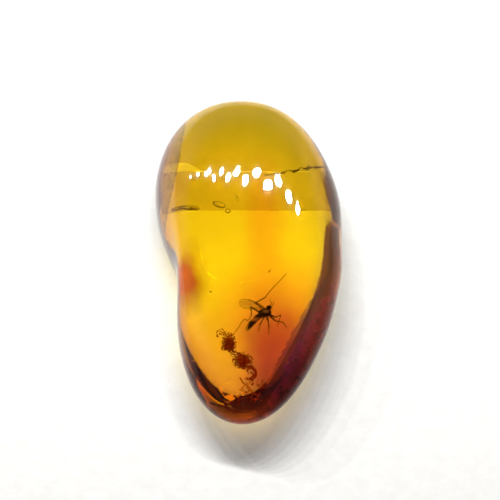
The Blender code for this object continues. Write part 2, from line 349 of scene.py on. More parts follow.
def smooth_path(points, steps, closed=False):
    """A Catmull-Rom curve through the points, with some steps from each to the next."""
    points = [Vector(point) for point in points]
    count = len(points)
    spans = count if closed else count - 1
    curve = []
    for i in range(spans):
        if closed:
            a, b, c, d = (points[(i + k) % count] for k in (-1, 0, 1, 2))
        else:
            a, b, c, d = (points[min(max(i + k, 0), count - 1)] for k in (-1, 0, 1, 2))
        for step in range(steps):
            t = step / steps
            curve.append(0.5 * (2 * b + (c - a) * t + (2 * a - 5 * b + 4 * c - d) * t ** 2
                                + (3 * b - a - 3 * c + d) * t ** 3))
    if not closed:
        curve.append(points[-1])
    return curve


print("a bent path of 3 points becomes", len(smooth_path([(0, 0, 0), (1, 1, 0), (2, 0, 0)], 6)))

# %% [markdown]
# ## Amber
# Amber is a hardened resin: clear, with an index of refraction of 1.54, and polished to a gloss.
# It swallows blue light at once, green slowly and red hardly at all. That is why thin amber
# is lemon yellow and thick amber is orange. A volume shader does the same: its colour says what
# is left of the light, and its density how soon.
#
# This lump isn't one even yellow. Its narrow end came from a redder flow, an orange streak
# runs through the middle, a burnt patch sits in the hollow flank, and brown weathering was left
# on the rim. Light takes up some base colour each time it crosses the surface, so soft spots of
# tint give these zones. A noise bends their edges, because resin flows have no clean ones.
#
# All along the rim, where the polish is worn, a thin skin is browner than the rest, and so is
# what it reflects. Each point of the mesh knows how near it is to the rim, which lets the skin
# follow the bean outline as no ellipsoid could.

# %% The zones of tint: middle and half axes in mm, softness of the edge, and colour
TINTS = (
    ((1.3, 3.4, 5), (1.3, 4.0, 30), 0.7, "#fee6ff"),        # orange streak through the middle
    ((2.6, -4.2, 5), (4.2, 3.8, 30), 0.6, "#f2ccff"),       # its spread round the fly
    ((0.0, -10.8, 5), (11.0, 6.6, 30), 0.5, "#f0d2ff"),     # redder flow of the narrow end
    ((2.5, -8.2, 5), (2.7, 4.2, 30), 0.6, "#d088ff"),       # its darkest part, by the fly
    ((3.4, -11.0, 5), (2.2, 2.2, 30), 0.6, "#c0a0ff"),      # a darker spot at its far end
    ((-5.1, -2.3, 5), (1.5, 2.6, 30), 0.6, "#9c3080"),      # burnt patch in the hollow flank
    ((-7.2, 6.0, 5), (1.6, 8.0, 30), 0.6, "#e8c880"),       # browner flank of the wide end
)
RIM_BROWN = "#e8a860"       # the thin brown skin all along the rim
RIM_GLOSS = "#9c6c50"       # its reflections, duller than those of the polished top
RIM_SKIN = (0.86, 0.985)    # where the skin starts and where it is full, with 1 at the rim
TINT_WANDER = 0.9           # mm by which the noise shifts the spots
TINT_WAVES = 0.35           # waves of that noise per mm


def wandering(tree, place, amount, waves):
    """The coordinates, shifted to and fro by a noise."""
    swirl = add_node(tree, "ShaderNodeTexNoise", [("Vector", place)], Scale=waves)
    centred = add_node(tree, "ShaderNodeVectorMath", [(0, swirl.outputs["Color"])],
                       operation="SUBTRACT")
    centred.inputs[1].default_value = (0.5, 0.5, 0.5)
    step = add_node(tree, "ShaderNodeVectorMath", [(0, centred.outputs[0])], operation="SCALE")
    step.inputs["Scale"].default_value = 2 * amount
    moved = add_node(tree, "ShaderNodeVectorMath", [(0, place), (1, step.outputs[0])],
                     operation="ADD")
    return moved.outputs[0]


# %% Polished amber
AMBER_INDEX = 1.54
AMBER_TINT = (0.99, 0.925, 0.0, 1.0)
AMBER_DENSITY = 400         # per metre
POLISH_ROUGHNESS = 0.02
POLISH_WAVES = 2.2          # hand polishing leaves shallow waves, about two per mm
POLISH_RELIEF = 0.0015      # mm


def polished_amber():
    material, shader = new_material("polished_clear_amber")
    tree = material.node_tree
    shader.inputs["Transmission Weight"].default_value = 1.0
    shader.inputs["IOR"].default_value = AMBER_INDEX
    shader.inputs["Roughness"].default_value = POLISH_ROUGHNESS
    place = in_millimetres(tree)
    bent = wandering(tree, place, TINT_WANDER, TINT_WAVES)
    colour = (1, 1, 1, 1)
    for middle, half_axes, edge, tint in TINTS:
        spot = soft_spot(tree, bent, middle, half_axes, edge)
        colour = blend(tree, spot, colour, hex_colour(tint), "MULTIPLY")
    nearness = add_node(tree, "ShaderNodeAttribute", attribute_name="rim_nearness")
    skin = add_node(tree, "ShaderNodeMapRange", [("Value", nearness.outputs["Fac"])],
                    From_Min=RIM_SKIN[0], From_Max=RIM_SKIN[1],
                    interpolation_type="SMOOTHSTEP")
    colour = blend(tree, skin.outputs[0], colour, hex_colour(RIM_BROWN), "MULTIPLY")
    tree.links.new(colour, shader.inputs["Base Color"])
    gloss = blend(tree, skin.outputs[0], (1, 1, 1, 1), hex_colour(RIM_GLOSS))
    tree.links.new(gloss, shader.inputs["Specular Tint"])
    ripples = add_node(tree, "ShaderNodeTexNoise", [("Vector", place)], Scale=POLISH_WAVES)
    bump = add_node(tree, "ShaderNodeBump", [("Height", ripples.outputs["Fac"])], Strength=1.0)
    bump.inputs["Distance"].default_value = POLISH_RELIEF * MM
    tree.links.new(bump.outputs[0], shader.inputs["Normal"])
    depth = add_node(tree, "ShaderNodeVolumeAbsorption", Color=AMBER_TINT, Density=AMBER_DENSITY)
    tree.links.new(depth.outputs[0], tree.nodes["Material Output"].inputs["Volume"])
    return material


# %% [markdown]
# Air bubbles were trapped where one flow ran over the next, and were drawn out flat. A bubble
# is a hole in the amber, so its wall belongs to the pebble's own mesh, turned inside out.

# %% Bubbles and the pebble itself: middle, half axes and turn of each bubble
BUBBLES = (
    ((-4.45, 4.50, 5.6), (0.62, 0.22, 0.28), -8), ((-4.25, 4.42, 5.9), (0.36, 0.12, 0.16), -4),
    ((-2.35, 4.75, 5.6), (0.56, 0.28, 0.30), -20), ((-1.66, 4.20, 5.6), (0.24, 0.22, 0.24), 0),
    ((-0.90, 5.22, 5.9), (0.10, 0.30, 0.10), 20), ((-6.1, 3.70, 5.2), (0.12, 0.10, 0.10), 0),
    ((-6.2, 3.05, 5.2), (0.10, 0.08, 0.08), 0), ((-5.6, 4.50, 5.4), (0.30, 0.07, 0.06), 5),
    ((-2.9, -2.6, 5.4), (0.09, 0.08, 0.08), 0), ((1.75, -0.95, 5.6), (0.14, 0.05, 0.05), 60),
    ((4.75, 7.75, 6.4), (0.07, 0.22, 0.10), 0), ((6.1, 7.1, 6.0), (0.30, 0.06, 0.06), -30),
)


def cavity(shape, centre, half_axes, turn):
    """A ball-shaped hole: its faces look into the hole."""
    hole = new_shape()
    ball(hole, centre, half_axes, math.radians(turn), detail=3)
    join_in(shape, hole["points"], [tuple(reversed(face)) for face in hole["faces"]])


tree_of_pebble = BVHTree.FromPolygons([Vector(p) for p in pebble_points], pebble_faces)
clear = new_shape()
join_in(clear, pebble_points, pebble_faces)
for centre, half_axes, turn in BUBBLES:
    cavity(clear, centre, half_axes, turn)
pebble = add_piece("amber_pebble", clear["points"], clear["faces"], polished_amber())
nearness = pebble.data.attributes.new("rim_nearness", "FLOAT", "POINT")
for i, share in enumerate(rim_nearness):
    nearness.data[i].value = share
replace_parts(pebble, "amber_lower", "amber_upper")
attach(pebble, "root")

# %% [markdown]
# ## The fly
# It lies on its side with its legs towards the narrow end, head to the right, one wing lifted
# and one folded under the abdomen. Its body is two and a half millimetres long. The joints'
# places are those of the plain solid. What is added here is what a hand lens shows: segments in
# the abdomen and feelers, thick thighs and thin shins, claws, bristles, and veins in the wings.

# %% The fly's places, in millimetres
FLY_Z = 5.05
THORAX_CENTRE = Vector((1.36, -4.37, FLY_Z))
THORAX_TURN = math.radians(12)
HEAD_CENTRE = Vector((1.66, -3.93, FLY_Z))
HEAD_HALF = (0.20, 0.18, 0.21)
ABDOMEN = ((1.08, -4.52, 0.17), (0.86, -4.66, 0.21), (0.64, -4.86, 0.22), (0.46, -5.06, 0.21),
           (0.30, -5.28, 0.18), (0.16, -5.50, 0.14), (0.05, -5.68, 0.08))
LEGS = {
    "front_near": ((1.66, -4.48, 0.12), (2.12, -4.76, 0.24), (2.58, -4.58, 0.30),
                   (2.44, -5.02, 0.26), (2.28, -5.44, 0.20)),
    "front_far": ((1.60, -4.50, -0.12), (2.14, -4.98, -0.26), (2.70, -5.06, -0.30),
                  (2.96, -5.53, -0.26)),
    "middle_near": ((1.30, -4.56, 0.10), (1.18, -4.98, 0.26), (0.92, -5.44, 0.24),
                    (0.84, -5.97, 0.18)),
    "middle_far": ((1.46, -4.56, -0.10), (1.58, -5.02, -0.24), (1.64, -5.56, -0.26),
                   (1.59, -6.06, -0.22)),
    "hind_near": ((1.12, -4.48, 0.12), (0.23, -3.91, 0.34), (0.30, -4.60, 0.36),
                  (0.02, -5.04, 0.34), (-0.30, -4.98, 0.28), (-0.60, -5.44, 0.22),
                  (-1.06, -6.15, 0.16)),
    "hind_far": ((1.36, -4.10, -0.14), (0.57, -3.51, -0.24), (1.37, -3.07, -0.20),
                 (1.75, -2.54, -0.10), (2.44, -1.80, 0.00), (3.11, -1.05, 0.08)),
}
ANTENNAE = (((1.76, -3.86, 0.08), (1.86, -3.58, 0.18), (1.72, -3.28, 0.26)),
            ((1.80, -3.90, -0.06), (2.00, -3.66, -0.16), (2.04, -3.36, -0.24)))
WING_SPREAD = ((1.44, -4.06), (1.22, -3.80), (0.98, -3.68), (0.60, -3.52), (0.24, -3.34),
               (-0.10, -3.24), (-0.44, -3.26), (-0.68, -3.46), (-0.66, -3.76), (-0.36, -4.00),
               (0.02, -4.08), (0.46, -4.12), (0.86, -4.10), (1.20, -4.26))
WING_FOLDED = ((1.30, -4.44), (1.02, -4.40), (0.66, -4.60), (0.30, -4.92), (0.02, -5.28),
               (-0.14, -5.62), (-0.08, -5.82), (0.12, -5.76), (0.40, -5.46), (0.74, -5.10),
               (1.06, -4.80))
WING_SPREAD_Z = FLY_Z + 0.02
WING_FOLDED_Z = FLY_Z - 0.17
RANDOM_SEED = 12
dice = np.random.default_rng(RANDOM_SEED)


# %% Body segments
def raise_path(path):
    """The same points with the fly's own height added."""
    return [Vector((x, y, z + FLY_Z)) for x, y, z in path]


def bristle(shape, root, direction, length, radius=0.006):
    """A stiff hair: a thin cone of three sides."""
    tip = root + direction.normalized() * length
    tube(shape, [root, root.lerp(tip, 0.6), tip], [radius, radius * 0.7, radius * 0.15], sides=3)


def bristles_on(shape, centre, half_axes, count, length):
    """Bristles spread over a ball, leaning back a little."""
    for _ in range(count):
        out = Vector(dice.normal(size=3)).normalized()
        root = centre + Vector(c * half for c, half in zip(out, half_axes))
        bristle(shape, root, out + Vector((-0.4, -0.2, 0)), length * dice.uniform(0.6, 1.2))


def thorax_and_head(shape):
    """The humped middle body, the round head, and short mouth feelers."""
    half_axes = (0.50, 0.34, 0.36)

    def hump(direction):
        return 0.05 * max(direction.y, 0) ** 2 - 0.05 * math.exp(-((direction.x + 0.45) / 0.1) ** 2)

    ball(shape, THORAX_CENTRE, half_axes, THORAX_TURN, detail=4, relief=hump)
    ball(shape, THORAX_CENTRE + Vector((-0.34, 0.0, 0.0)), (0.20, 0.24, 0.26), THORAX_TURN)
    bristles_on(shape, THORAX_CENTRE, half_axes, 70, 0.10)
    ball(shape, HEAD_CENTRE, HEAD_HALF)
    tube(shape, [THORAX_CENTRE.lerp(HEAD_CENTRE, t) for t in (0.4, 0.7, 1)], [0.12, 0.09, 0.1])
    bristles_on(shape, HEAD_CENTRE, HEAD_HALF, 26, 0.06)
    for side in (-1, 1):
        palp = [HEAD_CENTRE + Vector(step) for step in
                ((0.12, 0.02, side * 0.05), (0.22, -0.06, side * 0.08), (0.25, -0.18, side * 0.09))]
        tube(shape, smooth_path(palp, 4), np.linspace(0.035, 0.02, 9))


def abdomen(shape):
    """Seven rings, each a little swollen, with bristles along their hind edges."""
    spine = smooth_path([(x, y, FLY_Z) for x, y, _ in ABDOMEN], 10)
    widths = [point.x for point in smooth_path([(half, 0, 0) for *_, half in ABDOMEN], 10)]
    radii = []
    for i, width in enumerate(widths):
        ring = (i % 10) / 10
        radii.append(width * (0.90 + 0.10 * math.sin(math.pi * ring) ** 0.5))
    tube(shape, spine, radii, sides=24)
    for i in range(8, len(spine) - 1, 10):
        along = (spine[i + 1] - spine[i]).normalized()
        for _ in range(14):
            out = Vector(dice.normal(size=3))
            out = (out - along * out.dot(along)).normalized()
            bristle(shape, spine[i] + out * radii[i] * 0.95, out + along * 1.6, 0.09)
    for side in (-1, 1):
        end = spine[-1]
        tube(shape, [end, end + Vector((-0.06, -0.07, side * 0.04))], [0.035, 0.012], sides=6)


# %% Legs and feelers
LEG_RADIUS = 0.056
SHIN_SHARE = 0.80           # a shin's radius as a share of the thigh's
FOOT_SHARE = 0.58


def leg(shape, path):
    """Hip, thigh, shin with two spurs, and a foot of five short links that ends in claws."""
    path = raise_path(path)
    ball(shape, path[0], (0.10, 0.10, 0.09), detail=2)
    thigh, shin, foot = path[0:2], path[1:3], path[2:]
    thigh_points = [thigh[0].lerp(thigh[1], t) for t in np.linspace(0, 1, 7)]
    tube(shape, thigh_points, [LEG_RADIUS * (1.0 + 0.35 * math.sin(math.pi * t))
                               for t in np.linspace(0, 1, 7)])
    shin_points = [shin[0].lerp(shin[1], t) for t in np.linspace(0, 1, 5)]
    tube(shape, shin_points, [LEG_RADIUS * SHIN_SHARE] * 4 + [LEG_RADIUS * 0.85])
    for side in (-1, 1):
        bristle(shape, shin[1], shin[1] - shin[0] + Vector((0, 0, side * 0.1)), 0.12, 0.012)
    links = smooth_path(foot, 8) if len(foot) > 1 else foot
    radii = [LEG_RADIUS * FOOT_SHARE * (1.25 if i % 4 == 0 else 1.0) * (1 - 0.3 * i / len(links))
             for i in range(len(links))]
    if len(links) > 1:
        tube(shape, links, radii, sides=6)
        end, along = links[-1], (links[-1] - links[-2]).normalized()
        for side in (-1, 1):
            bristle(shape, end, along + Vector((0, 0, side * 0.6)), 0.06, 0.010)
    line = thigh_points + shin_points[1:] + list(links[1:])
    for a, b in zip(line, line[1:]):
        for _ in range(3):
            root = a.lerp(b, dice.uniform())
            out = Vector(dice.normal(size=3)).normalized()
            bristle(shape, root + out * 0.02, out + (b - a).normalized() * 1.4, 0.07, 0.005)


def feeler(shape, path):
    """A feeler of fourteen beads, each with a whorl of hairs."""
    line = smooth_path(raise_path(path), 7)
    for i, (a, b) in enumerate(zip(line, line[1:])):
        radius = 0.032 - 0.001 * i
        middle = a.lerp(b, 0.5)
        tube(shape, [a, a.lerp(b, 0.3), a.lerp(b, 0.8), b],
             [radius * 0.5, radius, radius * 0.9, radius * 0.5], sides=6)
        for _ in range(5):
            out = Vector(dice.normal(size=3)).normalized()
            bristle(shape, middle, out + (b - a).normalized(), 0.07, 0.004)


# %% Build the fly's body
body = new_shape()
thorax_and_head(body)
abdomen(body)
for joints in LEGS.values():
    leg(body, joints)
for joints in ANTENNAE:
    feeler(body, joints)
eyes = new_shape()
for side in (-1, 1):
    ball(eyes, HEAD_CENTRE + Vector((0.04, 0.03, side * 0.12)), (0.13, 0.13, 0.11), detail=3)
print("body:", len(body["faces"]), "faces")

# %% [markdown]
# A fly's wing is a film stiffened by tubes, the veins. The film is laid between two curves, the
# leading and the trailing edge, so every place on it has two numbers: how far out from the
# root, and how far back from the leading edge. The veins are written in those two numbers, and
# the same list serves both wings, whatever their outline.

# %% Wings
VEINS = (                    # (share out, share back) along each vein, and its radius in mm
    (((0.0, 0.0), (0.3, 0.0), (0.6, 0.0), (0.85, 0.0), (1.0, 0.5)), 0.030),
    (((0.02, 0.10), (0.25, 0.08), (0.45, 0.0)), 0.014),
    (((0.02, 0.16), (0.35, 0.14), (0.66, 0.0)), 0.018),
    (((0.30, 0.15), (0.50, 0.22), (0.94, 0.16)), 0.014),
    (((0.02, 0.30), (0.30, 0.38), (0.55, 0.42), (0.98, 0.36)), 0.012),
    (((0.50, 0.42), (0.72, 0.55), (0.95, 0.68)), 0.011),
    (((0.02, 0.42), (0.25, 0.58), (0.50, 0.78), (0.72, 1.0)), 0.013),
    (((0.24, 0.58), (0.36, 0.80), (0.46, 1.0)), 0.011),
    (((0.32, 0.15), (0.34, 0.39)), 0.010),
    (((0.0, 1.0), (0.35, 1.0), (0.7, 1.0), (1.0, 0.5)), 0.012),
)
STIGMA_AT = (0.60, 0.05)     # the dark cell behind the leading edge
FILM_THICKNESS = 0.012
WING_CAMBER = 0.05
WING_ROWS, WING_COLUMNS = 40, 14


def wing_maker(outline, tip, height):
    """A function that gives the place on a wing for a share out and a share back."""
    lead = smooth_path([(x, y, 0) for x, y in outline[:tip + 1]], 12)
    trail = smooth_path([(x, y, 0) for x, y in (outline[tip:] + outline[:1])[::-1]], 12)

    def along(curve, share):
        place = share * (len(curve) - 1)
        i = min(int(place), len(curve) - 2)
        return curve[i].lerp(curve[i + 1], place - i)

    def place_on_wing(out, back):
        point = along(lead, out).lerp(along(trail, out), back)
        pleats = 0.012 * math.sin(back * 5 * math.pi)
        point.z = height + WING_CAMBER * math.sin(math.pi * back) * out + pleats * out
        return point
    return place_on_wing


def wing_film(shape, place_on_wing):
    """The film, as a thin closed plate."""
    points, faces = [], []
    for side in (-1, 1):
        for row in range(WING_ROWS + 1):
            for column in range(WING_COLUMNS + 1):
                point = place_on_wing(row / WING_ROWS, column / WING_COLUMNS)
                points.append(point + Vector((0, 0, side * FILM_THICKNESS / 2)))
    width = WING_COLUMNS + 1
    layer = (WING_ROWS + 1) * width
    for row in range(WING_ROWS):
        for column in range(WING_COLUMNS):
            a = row * width + column
            faces.append((a, a + width, a + width + 1, a + 1))
            faces.append((layer + a, layer + a + 1, layer + a + width + 1, layer + a + width))
    rim = [row * width for row in range(WING_ROWS + 1)]
    rim += [WING_ROWS * width + column for column in range(1, width)]
    rim += [row * width + WING_COLUMNS for row in range(WING_ROWS - 1, -1, -1)]
    rim += [column for column in range(WING_COLUMNS - 1, 0, -1)]
    for a, b in zip(rim, rim[1:] + rim[:1]):
        faces.append((a, layer + a, layer + b, b))
    join_in(shape, points, faces)


def wing_veins(shape, place_on_wing):
    """The veins as thin tubes, the dark cell, and a fringe of hairs on the trailing edge."""
    for route, radius in VEINS:
        line = smooth_path([place_on_wing(*spot) for spot in route], 6)
        tube(shape, line, np.linspace(radius, radius * 0.6, len(line)), sides=6)
    stigma = place_on_wing(*STIGMA_AT)
    ball(shape, stigma, (0.11, 0.035, 0.02), math.radians(170), detail=2)
    for out in np.linspace(0.15, 0.98, 60):
        edge = place_on_wing(out, 1.0)
        bristle(shape, edge, edge - place_on_wing(out, 0.8), 0.05, 0.003)


films, veins = new_shape(), new_shape()
for outline, tip, height in ((WING_SPREAD, 7, WING_SPREAD_Z), (WING_FOLDED, 6, WING_FOLDED_Z)):
    wing = wing_maker(outline, tip, height)
    wing_film(films, wing)
    wing_veins(veins, wing)
print("wings:", len(films["faces"]), "faces of film and", len(veins["faces"]), "of vein")

# %% [markdown]
# An insect's skin is cuticle: layers of chitin, tanned dark brown and a little waxy, so it
# shines softly. On top of the humped middle body a grey patch is partly fine dust-like hairs and
# partly a painted silvery sheen. A pale streak along the top of the abdomen is a painted
# highlight. One colour ramp over the body's own coordinates says where each of these is.

# %% Cuticle
CUTICLE_GRAIN = 9.0         # spots per millimetre: pores and hair roots, drawn coarse to show


def insect_cuticle():
    material, shader = new_material("tanned_insect_cuticle")
    tree = material.node_tree
    place = in_millimetres(tree)
    pores = add_node(tree, "ShaderNodeTexNoise", [("Vector", place)], Scale=CUTICLE_GRAIN)
    # grey patch on top of the thorax: partly fine hairs, partly a painted silvery sheen
    dust_and_sheen = soft_spot(tree, place, (1.42, -4.30, FLY_Z + 0.3), (0.26, 0.13, 0.3))
    # painted highlight: a pale streak along the top of the abdomen
    painted_highlight_streak = soft_spot(tree, place, (0.62, -4.95, FLY_Z + 0.25), (0.62, 0.16, 0.3))
    brown = blend(tree, pores.outputs["Fac"], hex_colour("#0e0705"), hex_colour("#24130b"))
    with_dust_and_sheen = blend(tree, dust_and_sheen, brown, hex_colour("#857e78"))
    with_painted_highlight = blend(tree, painted_highlight_streak, with_dust_and_sheen, hex_colour("#a9846a"))
    tree.links.new(with_painted_highlight, shader.inputs["Base Color"])
    bump = add_node(tree, "ShaderNodeBump", [("Height", pores.outputs["Fac"])], Strength=0.3)
    bump.inputs["Distance"].default_value = 0.01 * MM
    tree.links.new(bump.outputs[0], shader.inputs["Normal"])
    shader.inputs["Roughness"].default_value = 0.42
    return material


# %% [markdown]
# The wings' film is the same chitin, only a few thousandths of a millimetre thick and smoky
# brown. It bends no light, so it is made as a weak brown cover. The veins are thicker and dark.
# An eye is hundreds of domed lenses side by side, which Voronoi cells draw well.

# %% Wing film, veins and eyes
def wing_film_material():
    material, shader = new_material("clear_wing_film")
    tree = material.node_tree
    place = in_millimetres(tree)
    clouds = add_node(tree, "ShaderNodeTexNoise", [("Vector", place)], Scale=3.0)
    smoke = blend(tree, clouds.outputs["Fac"], hex_colour("#5a3a1c"), hex_colour("#a0703a"))
    tree.links.new(smoke, shader.inputs["Base Color"])
    shader.inputs["Alpha"].default_value = 0.16
    shader.inputs["Roughness"].default_value = 0.25
    return material


def vein_material():
    material, shader = new_material("wing_vein")
    tree = material.node_tree
    grain = add_node(tree, "ShaderNodeTexNoise", [("Vector", in_millimetres(tree))], Scale=6.0)
    brown = blend(tree, grain.outputs["Fac"], hex_colour("#3a1c0a"), hex_colour("#6a3a14"))
    tree.links.new(brown, shader.inputs["Base Color"])
    shader.inputs["Roughness"].default_value = 0.4
    return material


def eye_material():
    material, shader = new_material("faceted_eye")
    tree = material.node_tree
    lenses = add_node(tree, "ShaderNodeTexVoronoi", [("Vector", in_millimetres(tree))], Scale=28.0)
    red = blend(tree, lenses.outputs["Distance"], hex_colour("#4a160c"), hex_colour("#140605"))
    tree.links.new(red, shader.inputs["Base Color"])
    bump = add_node(tree, "ShaderNodeBump", [("Height", lenses.outputs["Distance"])], Strength=0.5)
    bump.inputs["Distance"].default_value = 0.01 * MM
    bump.invert = True
    tree.links.new(bump.outputs[0], shader.inputs["Normal"])
    shader.inputs["Roughness"].default_value = 0.25
    return material


# %% The fly's pieces
def finish_piece(name, shape, material):
    """Make a shape into a piece that rides on the part."""
    piece = add_piece(name, shape["points"], shape["faces"], material)
    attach(piece, "root")
    return piece


fly_body = finish_piece("fly_body", body, insect_cuticle())
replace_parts(fly_body, "fly")
finish_piece("fly_wing_films", films, wing_film_material())
finish_piece("fly_wing_veins", veins, vein_material())
finish_piece("fly_eyes", eyes, eye_material())

# %% [markdown]
# ## Plant debris
# Crumbs of bark and soil stuck to the wet resin and were smeared along by it. A crumb has a
# rough core, a crowd of loose grains round it and some bast fibres, and resin has soaked into
# all of them, so they are reddish brown. Every grain is a small rough ball, thrown by seeded
# dice more and more thinly outwards, which gives the fuzzy edge that a single lump never has.

# %% Crumbs, curl and thread
DEBRIS_Z = 4.05
CRUMBS = {                  # middle, half axes, turn and seed
    "debris_crumb_upper_bark": ((-1.38, -6.62), (0.42, 0.62, 0.34), 25, 3.0),
    "debris_crumb_lower_bark": ((-0.36, -8.06), (0.62, 0.50, 0.32), -20, 7.0),
}
CURL = ((0.02, -8.62, 0.0), (0.36, -8.70, 0.06), (0.60, -9.00, 0.10), (0.54, -9.36, 0.06),
        (0.22, -9.56, 0.0), (-0.08, -9.44, -0.06))
THREAD = ((-0.52, -9.38, -0.16), (-0.28, -9.82, -0.10), (0.04, -10.10, -0.02),
          (0.34, -10.52, 0.06), (0.60, -10.78, 0.10))
GRAINS = 260
SPECKS = (                  # stray crumbs: place, and how many grains
    ((-1.9, -5.9, 4.3), 26), ((-1.2, -7.1, 4.2), 34), ((-0.9, -7.6, 4.2), 34),
    ((-0.1, -8.5, 4.1), 40), ((0.3, -8.9, 4.1), 34), ((0.2, -9.6, 4.0), 26),
    ((0.9, -9.9, 4.3), 22), ((0.6, -11.0, 4.2), 24), ((2.9, -8.6, 3.6), 12),
    ((3.4, -7.7, 3.8), 10), ((-0.1, -10.3, 4.0), 24), ((1.5, -1.2, 5.6), 3),
)


def rough(seed, waves, depth):
    """A relief for ball(): lumps of some waves across and a finer grain on them."""
    shift = Vector((seed, seed, seed))

    def relief(direction):
        coarse = noise.noise(direction * waves + shift)
        fine = noise.noise(direction * waves * 4 + shift)
        return depth * (coarse + 0.4 * fine)
    return relief


def grains(shape, centre, spread, count, size, seed):
    """Small rough balls round a place, thinning out."""
    for i in range(count):
        out = Vector(dice.normal(size=3)).normalized() * dice.uniform(0.2, 1.0) ** 0.5
        place = centre + Vector(c * half for c, half in zip(out, spread))
        radius = size * dice.uniform(0.4, 1.2)
        half_axes = (radius, radius * dice.uniform(0.5, 1.0), radius * dice.uniform(0.4, 0.9))
        ball(shape, place, half_axes, dice.uniform(0, 3), 1, rough(seed + i, 1.5, 0.5))


def crumb(centre, half_axes, turn, seed):
    shape = new_shape()
    middle = Vector((*centre, DEBRIS_Z))
    core = [0.55 * half for half in half_axes]
    ball(shape, middle, core, math.radians(turn), 5, rough(seed, 2.4, 0.55))
    for lump in range(7):
        out = Vector(dice.normal(size=3)).normalized() * 0.6
        place = middle + Vector(c * half for c, half in zip(out, half_axes))
        ball(shape, place, [0.32 * half for half in half_axes], lump, 3, rough(seed + lump, 3, 0.6))
    grains(shape, middle, [1.35 * half for half in half_axes], GRAINS, 0.075, seed)
    for _ in range(16):
        out = Vector(dice.normal(size=3)).normalized()
        root = middle + Vector(c * half * 0.7 for c, half in zip(out, half_axes))
        bend = Vector(dice.normal(size=3)) * 0.12
        path = smooth_path([root, root + out * 0.16 + bend, root + out * 0.34], 4)
        tube(shape, path, np.linspace(0.016, 0.006, len(path)), sides=4)
    return shape


loose = new_shape()
for place, count in SPECKS:
    grains(loose, Vector(place), (0.42, 0.42, 0.16), count, 0.075, count)
curl_path = smooth_path([(x, y, z + DEBRIS_Z) for x, y, z in CURL], 10)
curl_shape = new_shape()
for strand in range(5):
    offset = Vector(dice.normal(size=3)) * 0.035
    widths = [0.075 * (1.1 - i / len(curl_path)) * dice.uniform(0.6, 1.2)
              for i in range(len(curl_path))]
    tube(curl_shape, [point + offset for point in curl_path], widths, sides=7)
for i in range(0, len(curl_path), 5):
    grains(curl_shape, curl_path[i], (0.16, 0.16, 0.10), 9, 0.04, i)
thread_path = smooth_path([(x, y, z + DEBRIS_Z) for x, y, z in THREAD], 10)
thread_shape = new_shape()
for strand in range(4):
    turns = [math.radians(90 * strand + 25 * i) for i in range(len(thread_path))]
    twisted = [point + Vector((math.cos(a), math.sin(a) * 0.5, math.sin(a))) * 0.028
               for point, a in zip(thread_path, turns)]
    tube(thread_shape, twisted, np.linspace(0.030, 0.014, len(twisted)), sides=5)


# %% [markdown]
# Bark soaked in resin is a dull reddish brown, lighter on broken edges. Two noises of different
# scale mix three browns: one for the crumbs of some tenths of a millimetre, and one for grit.

# %% Resin-soaked bark
def soaked_bark(name, dark, light):
    material, shader = new_material(name)
    tree = material.node_tree
    place = in_millimetres(tree)
    crumbs = add_node(tree, "ShaderNodeTexNoise", [("Vector", place)], Scale=3.0, Detail=6.0)
    grit = add_node(tree, "ShaderNodeTexNoise", [("Vector", place)], Scale=14.0)
    brown = blend(tree, crumbs.outputs["Fac"], hex_colour(dark), hex_colour(light))
    worn = blend(tree, grit.outputs["Fac"], brown, hex_colour("#b5662c"), "SOFT_LIGHT")
    tree.links.new(worn, shader.inputs["Base Color"])
    bump = add_node(tree, "ShaderNodeBump", [("Height", grit.outputs["Fac"])], Strength=0.8)
    bump.inputs["Distance"].default_value = 0.03 * MM
    tree.links.new(bump.outputs[0], shader.inputs["Normal"])
    shader.inputs["Roughness"].default_value = 0.85
    return material


bark = soaked_bark("resin_soaked_bark", "#4a1a08", "#b04a1c")
bast = soaked_bark("resin_soaked_bast_fibre", "#5a200a", "#b4561e")
for (name, facts), node in zip(CRUMBS.items(), ("debris_crumb_upper", "debris_crumb_lower")):
    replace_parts(finish_piece(name, crumb(*facts), bark), node)
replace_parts(finish_piece("debris_bark_curl", curl_shape, bast), "debris_curl")
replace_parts(finish_piece("debris_bast_thread", thread_shape, bast), "debris_fibre")
finish_piece("debris_loose_grains", loose, bark)

# %% [markdown]
# ## Painted shade sheets, a healed crack, and a rind with painted light and shade
# The far, wide end of the pebble looks darker, because the paper below it gets less lamp light
# through the dome, and that shadow starts along a crisp line. The shade is painted in by two thin
# olive films inside the amber, the first with its clean front edge on that line. A film bends no
# light, so its index is 1, and all it does is tint. Each film starts from its front edge and runs
# back, nearly level, as far as its reach or until it nearly meets the pebble's surface, which a
# ray finds.

# %% Painted shade sheets
SHADE_SHEETS = {                   # front edge, its step at the left, height, slope, reach, fade, tint
    "painted_shade_sheet_front": (4.1, 0.0, 6.4, 0.10, 3.4, 40.0, "#b4a4a0"),
    "painted_shade_sheet_back": (7.5, 0.8, 6.0, 0.15, 20.0, 12.0, "#b4a4a0"),
}
STEP_AT = -4.2              # where the step is, in mm from the middle
SHEET_MARGIN = 0.35          # mm between a seam and the pebble's surface
SHEET_COLUMNS, SHEET_ROWS = 70, 16


def room_ahead(start, direction):
    """How far one can go inside the pebble, less the margin."""
    place, _, _, distance = tree_of_pebble.ray_cast(start, direction)
    return max(distance - SHEET_MARGIN, 0.01) if place else 0.01


